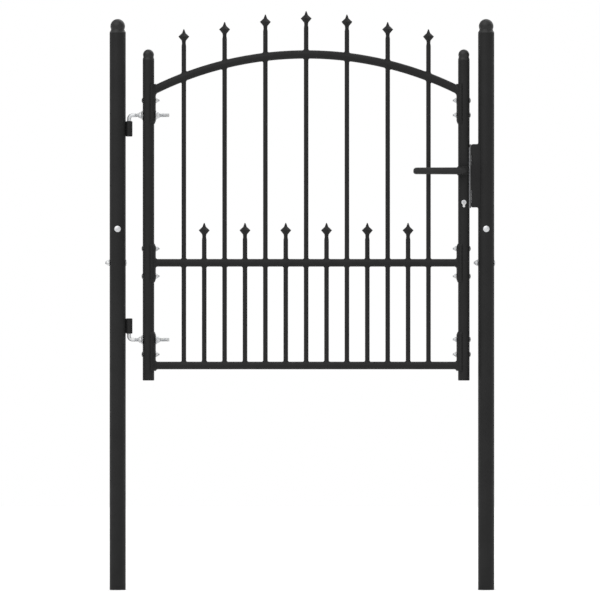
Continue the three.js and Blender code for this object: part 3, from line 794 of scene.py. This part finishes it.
def make_hinge_stile():
    low, high = box("hinge_stile")
    body = stile_tube(low.z, high.z).at(STILE_X["hinge"], 0, 0)
    hole = M6["radius"] + HOLE_PLAY
    holes = [hole_x(middle(f"hinge_saddle_bolt_{i}").z, STILE_X["hinge"], hole) for i in range(1, 5)]
    for level in ("upper", "lower"):
        holes.append(hole_x(hinge_leg_height(level), STILE_X["hinge"], M10["radius"] + HOLE_PLAY))
    painted("hinge_stile_tube", carved(body, *holes), "leaf", "hinge_stile")


def stile_tube(low, high):
    """A tube whose foot is closed by a disc, welded in and ground round."""
    inner = STILE_RADIUS - WALL["stile"]
    profile = rounded([
        (0, low, 0), (STILE_RADIUS, low, 1.8), (STILE_RADIUS, high, CUT_EDGE), (inner, high, CUT_EDGE),
        (inner, low + 3, 0.5), (0, low + 3, 0),
    ], 5, loop=False)
    return lathe(profile, SIDES["stile"])


def cylinder_outline(grow=0.0):
    """The profile cylinder seen from the front, about its own centre: a round top on a narrow leg."""
    low = box("lock_cylinder")[0]
    centre = joint_place("key_turn")
    radius = CYLINDER["radius"] + grow
    leg = CYLINDER["leg"] + grow
    bottom = low.z - centre.z - grow
    dip = math.asin(leg / radius)
    line = []
    for angle in spread(dip - math.pi / 2, math.pi * 3 / 2 - dip, 20):
        line.append((radius * math.cos(angle), radius * math.sin(angle)))
    corner = CYLINDER["corner"]
    foot = [(-leg, bottom + corner), (-leg + corner * 0.3, bottom + corner * 0.3), (-leg + corner, bottom)]
    foot += [(leg - corner, bottom), (leg - corner * 0.3, bottom + corner * 0.3), (leg, bottom + corner)]
    return line + foot


def cylinder_solid(reach, grow=0.0):
    centre = joint_place("key_turn")
    made = prism(cylinder_outline(grow), -reach, reach)
    return along_y(made).at(centre.x, 0, centre.z)


def make_lock_stile():
    low, high = box("lock_stile")
    x = STILE_X["lock"]
    body = stile_tube(low.z, high.z).at(x, 0, 0)
    first, last = box("lock_case")
    gap = SEAT_GAP
    slot = block((x, x + 30), (first.y - gap, last.y + gap), (first.z - gap, last.z + gap))
    spindle_hole = hole_y(joint_place("lever_turn").z, x, SPINDLE_HOLE)
    hole = M6["radius"] + HOLE_PLAY
    bolts = [hole_x(middle(f"lock_saddle_bolt_{i}").z, x, hole) for i in range(1, 7)]
    made = carved(body, slot, spindle_hole, cylinder_solid(30, 0.25), *bolts)
    painted("lock_stile_tube", made, "leaf", "lock_stile")


def saddle_solid(x, inward, low, high, taper_low, taper_high):
    """A part-round plate on the inner side of a stile, bevelled towards its free ends."""
    inner = STILE_RADIUS + 0.12
    thin, edge = 0.7, 1.2
    rounding = math.radians(13)
    angles = spread(-SADDLE_HALF_ANGLE, SADDLE_HALF_ANGLE, 28)
    sections = []
    heights = [low, low + edge * 0.3, low + edge]
    heights += spread(low + edge, low + SADDLE_TAPER, 6)[1:]
    heights += [high + low - z for z in reversed(heights)]
    for z in heights:
        outer = SADDLE_RADIUS
        for gap, tapered in ((z - low, taper_low), (high - z, taper_high)):
            if tapered:
                share = min(1.0, gap / SADDLE_TAPER)
                outer = min(outer, inner + thin + (SADDLE_RADIUS - inner - thin) * share ** 0.8)
            else:
                share = min(1.0, gap / edge)
                outer = min(outer, SADDLE_RADIUS - edge * 0.6 * (1 - math.sqrt(share * (2 - share))))
        arc = []
        for angle in angles:
            side = min(1.0, (SADDLE_HALF_ANGLE - abs(angle)) / rounding)
            r = inner + 0.5 + (outer - inner - 0.5) * math.sqrt(side * (2 - side))
            arc.append((r, angle))
        arc += [(inner, angle) for angle in reversed(angles)]
        sections.append([(x + inward * r * math.cos(a), r * math.sin(a), z) for r, a in arc])
    return loft(sections)


def make_saddles():
    for side in ("hinge", "lock"):
        for level in ("top", "mid", "bottom"):
            node = f"{side}_{level}_saddle"
            low, high = box(node)
            tapers = (level != "bottom", level != "top")
            made = saddle_solid(STILE_X[side], INWARD[side], low.z, high.z, *tapers)
            painted(f"{node}_plate", made, "leaf", node)


def saddle_axis(side):
    return Vector((STILE_X[side], 0, 0))


def tube_along(stations, radius, wall, sides):
    """A tube through stations (point, direction), its ends coped to the saddles."""
    flip = Vector((0, 1, 0))
    up = Vector((0, 0, 1))
    seat = SADDLE_RADIUS + COPE_GAP
    inner_rings, outer_rings = [], []
    for number, (point, direction) in enumerate(stations):
        normal = direction.cross(flip).normalized()
        for rings, r in ((outer_rings, radius), (inner_rings, radius - wall)):
            ring = oval(point, flip, normal, r, r, sides)
            if number == 0:
                ring = [meet(p, direction, saddle_axis("hinge"), up, seat) for p in ring]
            elif number == len(stations) - 1:
                ring = [meet(p, -direction, saddle_axis("lock"), up, seat) for p in ring]
            rings.append(ring)
    return loft(outer_rings + inner_rings[::-1], loop=True)


def straight_stations(z):
    direction = Vector((1, 0, 0))
    inset = SADDLE_RADIUS + 4
    first = STILE_X["hinge"] + inset
    last = STILE_X["lock"] - inset
    return [(Vector((x, 0, z)), direction) for x in spread(first, last, 24)]


def arch_at(x):
    """(point of the arch's centre line at x, its direction there)."""
    centre_z = ARCH_TOP - ARCH_TUBE_RADIUS - ARCH_RADIUS
    across = (x - LEAF_X) / ARCH_RADIUS
    up = math.sqrt(1 - across * across)
    return Vector((x, 0, centre_z + ARCH_RADIUS * up)), Vector((up, 0, -across))


def arch_stations():
    inset = SADDLE_RADIUS + 4
    first, last = STILE_X["hinge"] + inset, STILE_X["lock"] - inset
    a, b = (math.asin((x - LEAF_X) / ARCH_RADIUS) for x in (first, last))
    return [arch_at(LEAF_X + ARCH_RADIUS * math.sin(angle)) for angle in spread(a, b, 72)]


def picket_tools(nodes, low, high):
    tools = Solid()
    for node in nodes:
        tools.add(rod(PICKET_RADIUS + 0.12, low, high, SIDES["picket"]).at(middle(node).x, 0, 0))
    return tools


def make_rails():
    sides = SIDES["rail"]
    rail = tube_along(straight_stations(middle("bottom_rail").z), RAIL_RADIUS, WALL["rail"], sides)
    painted("bottom_rail_tube", rail, "leaf", "bottom_rail")
    mid_z = middle("mid_rail").z
    rail = tube_along(straight_stations(mid_z), RAIL_RADIUS, WALL["rail"], sides)
    rail = carved(rail, picket_tools(LONG_PICKETS + SHORT_PICKETS, mid_z - 30, mid_z + 30))
    painted("mid_rail_tube", rail, "leaf", "mid_rail")
    arch = tube_along(arch_stations(), ARCH_TUBE_RADIUS, WALL["rail"], sides)
    arch = carved(arch, picket_tools(LONG_PICKETS, ARCH_TOP - 150, ARCH_TOP + 30))
    painted("arch_rail_tube", arch, "leaf", "arch_rail")


def make_rail_welds(chance):
    up, right = Vector((0, 0, 1)), Vector((1, 0, 0))
    arch_welds, mid_welds, bottom_welds = Solid(), Solid(), Solid()
    for node in LONG_PICKETS + SHORT_PICKETS:
        x = middle(node).x
        mid = (middle("mid_rail").z, mid_welds, (1, -1))
        bottom = (middle("bottom_rail").z, bottom_welds, (1,))
        for z, welds, ways in (mid, bottom):
            for way in ways:
                rail = Vector((x, 0, z))
                welds.add(weld_round(
                    rail, up * way, PICKET_RADIUS, rail, right, RAIL_RADIUS, RAIL_WELD, chance,
                ))
        if node in LONG_PICKETS:
            point, direction = arch_at(x)
            for way in (1, -1):
                arch_welds.add(weld_round(
                    point, up * way, PICKET_RADIUS, point, direction, ARCH_TUBE_RADIUS, RAIL_WELD, chance,
                ))
    for side, way in INWARD.items():
        saddle = saddle_axis(side)
        for z, welds in ((middle("mid_rail").z, mid_welds), (middle("bottom_rail").z, bottom_welds)):
            start = Vector((STILE_X[side], 0, z))
            welds.add(weld_round(
                start, right * way, RAIL_RADIUS, saddle, up, SADDLE_RADIUS, SADDLE_WELD, chance,
            ))
        point, direction = arch_at(STILE_X[side] + way * SADDLE_RADIUS)
        arch_welds.add(weld_round(
            point, direction * way, ARCH_TUBE_RADIUS, saddle, up, SADDLE_RADIUS, SADDLE_WELD, chance,
            box(f"{side}_top_saddle")[1].z,
        ))
    painted("arch_rail_welds", arch_welds, "leaf")
    painted("mid_rail_welds", mid_welds, "leaf")
    painted("bottom_rail_welds", bottom_welds, "leaf")


# ---- Pickets ----


def smooth_step(value, start, end):
    share = min(1.0, max(0.0, (value - start) / (end - start)))
    return share * share * (3 - 2 * share)


def spear_ring(x, z, half_width, depth, sides):
    """A section of the picket or its head, between a circle and a diamond with corners on X and Y."""
    squareness = 1 - smooth_step(depth, SPEAR_SQUARE_ABOVE, SPEAR_ROUND_BELOW)
    power = 2 - (2 - SPEAR_POWER) * squareness
    ring = []
    for angle in turns(sides):
        c, s = math.cos(angle), math.sin(angle)
        r = half_width / (abs(c) ** power + abs(s) ** power) ** (1 / power)
        ring.append((x + r * c, r * s, z))
    return ring


def picket_solid(x, tip, rail_z):
    """A tube coped over the bottom rail and closed by its forged spearhead."""
    sides = SIDES["picket"]
    inner = PICKET_RADIUS - WALL["picket"]
    seat = RAIL_RADIUS + COPE_GAP
    outline = rounded([(w, -d, r) for d, w, r in SPEAR], 5, loop=False)
    bore_top = tip - SPEAR[0][0] - 4

    def coped(radius):
        ends = [(x + radius * math.cos(a), radius * math.sin(a)) for a in turns(sides)]
        return [(at, y, rail_z + math.sqrt(seat * seat - y * y)) for at, y in ends]

    rings = [[(x, 0, bore_top)], [Vector(p) + Vector((x, 0, 0)) for p in circle(inner, bore_top, sides)]]
    rings += [coped(inner), coped(PICKET_RADIUS)]
    for half_width, height in outline:
        rings.append(spear_ring(x, tip + height, half_width, -height, sides))
    rings.append([(x, 0, tip)])
    return loft(rings)


def make_pickets():
    rail_z = middle("bottom_rail").z
    for node in LONG_PICKETS + SHORT_PICKETS:
        made = picket_solid(middle(node).x, box(node)[1].z, rail_z)
        painted(f"{node}_forged", made, "leaf", node)


# ---- Lock and keep ----


def bolt_box(node):
    """The box of one of the lock's bolts, without the foot of the latch."""
    low, high = box(node)
    if node == "latch_bolt":
        low.z += LATCH_FOOT
    return low, high


def make_keep(chance):
    """A box welded to the lock post, notched and slotted for the latch and the deadbolt."""
    low, high = box("strike_keep")
    low.x -= 0.2
    wall, chamfer, edge = 2.4, 2.6, 0.8
    slot, notch, notch_depth = 1.2, 0.35, 1.95
    outline = [
        (low.x + chamfer, low.z), (high.x, low.z), (high.x, high.z), (low.x + chamfer, high.z),
        (low.x, high.z - chamfer), (low.x, low.z + chamfer),
    ]
    outer = softened(along_y(prism(outline, -high.y, -low.y)), edge)
    inner = block((low.x + wall, high.x + 20), (low.y + wall, high.y - wall), (low.z + wall, high.z - wall))
    post = rod(POST_RADIUS + 0.15, low.z - 5, high.z + 5, SIDES["post"]).at(POST_X["lock"], 0, 0)
    tools = [inner, post]
    for node in ("latch_bolt", "deadbolt"):
        bolt_low, bolt_high = bolt_box(node)
        half = bolt_high.y + slot
        heights = (bolt_low.z - slot, bolt_high.z + slot)
        tools.append(block((low.x + 1, low.x + wall + 1), (-half, half), heights))
        heights = (bolt_low.z - notch, bolt_high.z + notch)
        tools.append(block((low.x - 1, low.x + notch_depth), (low.y - 1, high.y + 1), heights))
    painted("strike_keep_box", carved(outer, *tools), "posts", "strike_keep")
    painted("strike_keep_welds", keep_welds(low, high, chance), "posts", "strike_keep")


def keep_welds(low, high, chance):
    """Fillets between the top and bottom of the keep and the post."""
    made = Solid()
    reach = math.asin(high.y / POST_RADIUS) * 0.97
    for height, way in ((high.z, 1), (low.z, -1)):
        sections = []
        count = 40
        phase = chance.uniform(0, math.tau)
        for k in range(count + 1):
            angle = reach * (2 * k / count - 1)
            out = Vector((-math.cos(angle), math.sin(angle), 0))
            fade = min(1.0, 5.0 * k / count, 5.0 * (count - k) / count)
            leg = (3.4 + 0.25 * math.sin(k * 0.9 + phase)) * (0.25 + 0.75 * fade)
            corner = Vector((POST_X["lock"], 0, height)) + out * POST_RADIUS
            up = Vector((0, 0, way))
            sink = -out * 0.5 - up * 0.5
            sections.append(weld_section(corner + up * leg, corner, corner + out * leg, sink))
        made.add(loft(sections))
    return made


def make_forend():
    low, high = box("lock_forend")
    plate = block((low.x - 0.3, high.x + 0.15), (low.y, high.y), (low.z, high.z), 0.4)
    gap = 0.25
    tools = []
    for node in ("latch_bolt", "deadbolt"):
        first, last = bolt_box(node)
        tools.append(block(
            (low.x - 1, high.x + 1), (first.y - gap, last.y + gap), (first.z - gap, last.z + gap),
        ))
    piece("lock_forend_plate", carved(plate, *tools), STAINLESS, "leaf", "stainless", "lock_forend")


def make_latch():
    """The latch, bevelled on its front, with the tail and lug that the follower draws back."""
    low, high = box("latch_bolt")
    bottom = low.z + LATCH_FOOT
    nose_start = box("lock_forend")[1].x + 1
    outline = [
        (low.x + 1, low.y), (nose_start, low.y), (high.x, high.y - 2), (high.x, high.y),
        (low.x + 1, high.y),
    ]
    head = softened(prism(outline, bottom, high.z), 0.5)
    foot = block((low.x, low.x + 1.8), (low.y, high.y), (low.z, bottom + 4), 0.3)
    plated("latch_bolt_ground", head.add(foot), "latch", "latch_bolt")


def make_deadbolt():
    low, high = box("deadbolt")
    head_start = high.x - 13
    head = block((head_start, high.x), (low.y, high.y), (low.z, high.z), 0.6)
    tail = block((low.x, head_start + 1), (low.y, high.y), (low.z + 11, high.z - 2), 0.4)
    plated("deadbolt_ground", head.add(tail), "deadbolt", "deadbolt")


def cylinder_bar(radius, reach, edge=0.0):
    """A round bar on the cylinder's own axis."""
    centre = joint_place("key_turn")
    return along_y(rod(radius, -reach, reach, SIDES["lock"], edge)).at(centre.x, 0, centre.z)


def make_cylinder():
    """The profile cylinder, bored for its plug and cut away for the cam."""
    low, high = box("lock_cylinder")
    centre = joint_place("key_turn")
    body = softened(cylinder_solid(high.y), 0.35, math.radians(50), 2)
    bore = cylinder_bar(PLUG_RADIUS + 0.15, high.y + 2)
    room = block((low.x - 1, high.x + 1), (-3.7, 3.7), (centre.z - 7.25, high.z + 1))
    plated("lock_cylinder_body", carved(body, bore, room), "leaf", "lock_cylinder")


def make_plug():
    """The turning plug, with its keyways and its cam."""
    x, z = joint_place("key_turn").x, joint_place("key_turn").z
    face = box("cylinder_plug")[1].y
    ways = []
    for front in (-1, 1):
        mouth = sorted((front * (face - 6), front * (face + 1)))
        ways.append(block((x - 0.55, x + 0.55), mouth, (z - 3.0, z + 2.4)))
        ways.append(block((x - 1.0, x + 0.2), mouth, (z - 1.2, z + 0.2)))
    plug = carved(cylinder_bar(PLUG_RADIUS, face, 0.3), *ways)
    cam_half = 3.4
    cam = cylinder_bar(6.0, cam_half, 0.3)
    lobe = block((x - 9.5, x - 2), (-cam_half, cam_half), (z - 2.5, z + 2.5), 0.5)
    plated("cylinder_plug_keyed", plug.add(cam).add(lobe), "cylinder_plug", "cylinder_plug")


def make_rose(side):
    """A block that fits over the round stile. side is -1 in front and +1 behind."""
    node = "front_rose" if side < 0 else "back_rose"
    low, high = box(node)
    corner, edge = 4.0, 1.4
    outline = rounded([
        (low.x, low.z, corner), (high.x, low.z, corner), (high.x, high.z, corner), (low.x, high.z, corner),
    ], 6)
    made = along_y(softened(prism(outline, low.y, high.y), edge, math.radians(50)))
    made = made.at(0, low.y + high.y, 0)
    stile = rod(STILE_RADIUS + 0.15, low.z - 5, high.z + 5, SIDES["stile"]).at(STILE_X["lock"], 0, 0)
    hole = hole_y(joint_place("lever_turn").z, STILE_X["lock"], SPINDLE_HOLE, 40)
    piece(f"{node}_block", carved(made, stile, hole), PAINT, "leaf", "lever_black", node)


def lever_stations(side, axis, start_y, bar_y, tip_x, radius):
    """Places on the handle's middle line, each with its direction, half height and half depth."""
    bend, tip, taper, belly = 12.0, 8.0, 0.45, 0.35
    out = Vector((0, side, 0))
    back = Vector((-1, 0, 0))
    neck = [
        (0.0, radius + 1.3), (0.8, radius + 2.1), (4.2, radius + 2.1), (5.4, radius + 1.2),
        (8.0, radius - 0.2),
    ]
    stations = [(Vector((axis.x, start_y, axis.z)) + out * d, out, r, r) for d, r in neck]
    centre = Vector((axis.x - bend, bar_y - side * bend, axis.z))
    for angle in spread(0.0, math.pi / 2, 16):
        point = centre - back * bend * math.cos(angle) + out * bend * math.sin(angle)
        stations.append((point, out * math.cos(angle) + back * math.sin(angle), radius, radius))
    length = axis.x - bend - tip_x
    for share in spread(0.0, 1.0, 12)[1:]:
        point = Vector((axis.x - bend - (length - tip) * share, bar_y, axis.z))
        high_radius = radius - taper * share
        stations.append((point, back, high_radius, high_radius - belly * math.sin(math.pi * share)))
    steps = 8
    for k in range(1, steps + 1):
        angle = math.pi / 2 * k / steps
        point = Vector((tip_x + tip - tip * math.sin(angle), bar_y, axis.z))
        shrink = 0.12 + 0.88 * math.cos(angle) ** 0.75 if k < steps else 0.0
        stations.append((point, back, (radius - taper) * shrink, (radius - taper) * shrink))
    return stations


def make_lever(side):
    """A round handle with a collared neck, a soft elbow and a tapered tip."""
    node = "front_lever" if side < 0 else "back_lever"
    low, high = box(node)
    axis = joint_place("lever_turn")
    radius = half_size(node).z + 0.5
    bar_y = (low.y + radius) if side < 0 else (high.y - radius)
    start_y = high.y if side < 0 else low.y
    up = Vector((0, 0, 1))
    rings = []
    stations = lever_stations(side, axis, start_y, bar_y, low.x, radius)
    for point, direction, half_height, half_depth in stations:
        if half_height < 1e-6:
            rings.append([point])
        else:
            rings.append(oval(point, up, direction.cross(up), half_height, half_depth, SIDES["lever"]))
    half = SPINDLE_HALF
    socket = sorted((start_y - side, start_y + side * 17))
    hole = block((axis.x - half, axis.x + half), socket, (axis.z - half, axis.z + half))
    handle = carved(loft(rings), hole)
    piece(f"{node}_handle", handle, LEVER_COAT, "lever", "lever_black", node)


def keep_cad_nodes():
    """The lock's case and spindle keep their CAD shapes and take real finishes."""
    for node in ("lock_case", "lever_spindle"):
        shown = frame["nodes"][node]
        shown.data.materials.clear()
        shown.data.materials.append(CASE_STEEL)


# ---- Studio ----


def make_floor():
    made = bmesh.new()
    bmesh.ops.create_grid(made, x_segments=4, y_segments=4, size=12.0)
    floor = mesh_object("studio_floor", made)
    floor.location.z = -0.0005
    floor.data.materials.append(studio_floor("pale_studio_floor"))


def make_world():
    """White to the camera, and a soft pale room to everything else."""
    world = bpy.data.worlds.new("studio")
    bpy.context.scene.world = world
    world.use_nodes = True
    nodes, links = world.node_tree.nodes, world.node_tree.links
    nodes.clear()
    ray = nodes.new("ShaderNodeLightPath")
    mix = nodes.new("ShaderNodeMixShader")
    out = nodes.new("ShaderNodeOutputWorld")
    links.new(ray.outputs["Is Camera Ray"], mix.inputs["Fac"])
    for socket, strength in ((1, 0.75), (2, 1.0)):
        shade = nodes.new("ShaderNodeBackground")
        shade.inputs["Color"].default_value = (1, 1, 1, 1)
        shade.inputs["Strength"].default_value = strength
        links.new(shade.outputs["Background"], mix.inputs[socket])
    links.new(mix.outputs["Shader"], out.inputs["Surface"])


def make_softbox(name, towards, energy):
    """A very wide, soft light that shines along one direction."""
    data = bpy.data.lights.new(name, "SUN")
    data.energy = energy
    data.angle = math.radians(70)
    light = placed(name, data)
    light.rotation_mode = "QUATERNION"
    light.rotation_quaternion = Vector(towards).to_track_quat("-Z", "Y")


def make_camera():
    """Straight on to the front, from so far that lines stay parallel."""
    distance, width = 30.0, 1.56
    data = bpy.data.cameras.new("camera")
    data.sensor_width = 36.0
    data.lens = data.sensor_width * distance / width
    data.clip_end = 200.0
    camera = placed("camera", data)
    camera.location = (-0.005, -distance, 0.7533)
    camera.rotation_euler = (math.pi / 2, 0, 0)
    bpy.context.scene.camera = camera


def make_studio():
    make_camera()
    make_floor()
    make_world()
    make_softbox("key", (0.5, 0.9, -1.1), 1.5)
    make_softbox("back", (-0.6, -0.9, -1.0), 1.2)
    scene = bpy.context.scene
    scene.view_settings.view_transform = "Standard"
    scene.view_settings.look = "None"


# ---- The gate ----


def make_posts(chance):
    for side in ("hinge", "lock"):
        make_post(side)
        make_cap(side, "post", "posts")
        make_bolt(f"{side}_post_front_bolt", M8, "-Y", "posts", chance, False)
        make_bolt(f"{side}_post_side_bolt", M8, "+X", "posts", chance, False)
    for level in ("upper", "lower"):
        make_hinge_barrel(level, chance)
    make_keep(chance)


def make_leaf(chance):
    make_hinge_stile()
    make_lock_stile()
    for side in ("hinge", "lock"):
        make_cap(side, "stile", "leaf")
    make_saddles()
    make_rails()
    make_rail_welds(chance)
    make_pickets()
    for i in range(1, 5):
        make_bolt(f"hinge_saddle_bolt_{i}", M6, "-X", "leaf", chance, True)
    for i in range(1, 7):
        make_bolt(f"lock_saddle_bolt_{i}", M6, "+X", "leaf", chance, True)
    for level in ("upper", "lower"):
        make_hinge_bolt(level, chance)


def make_lock():
    keep_cad_nodes()
    make_forend()
    make_latch()
    make_deadbolt()
    make_cylinder()
    make_plug()
    for side in (-1, 1):
        make_rose(side)
        make_lever(side)


make_studio()
chance = random.Random(SEED)
make_posts(chance)
make_leaf(chance)
make_lock()
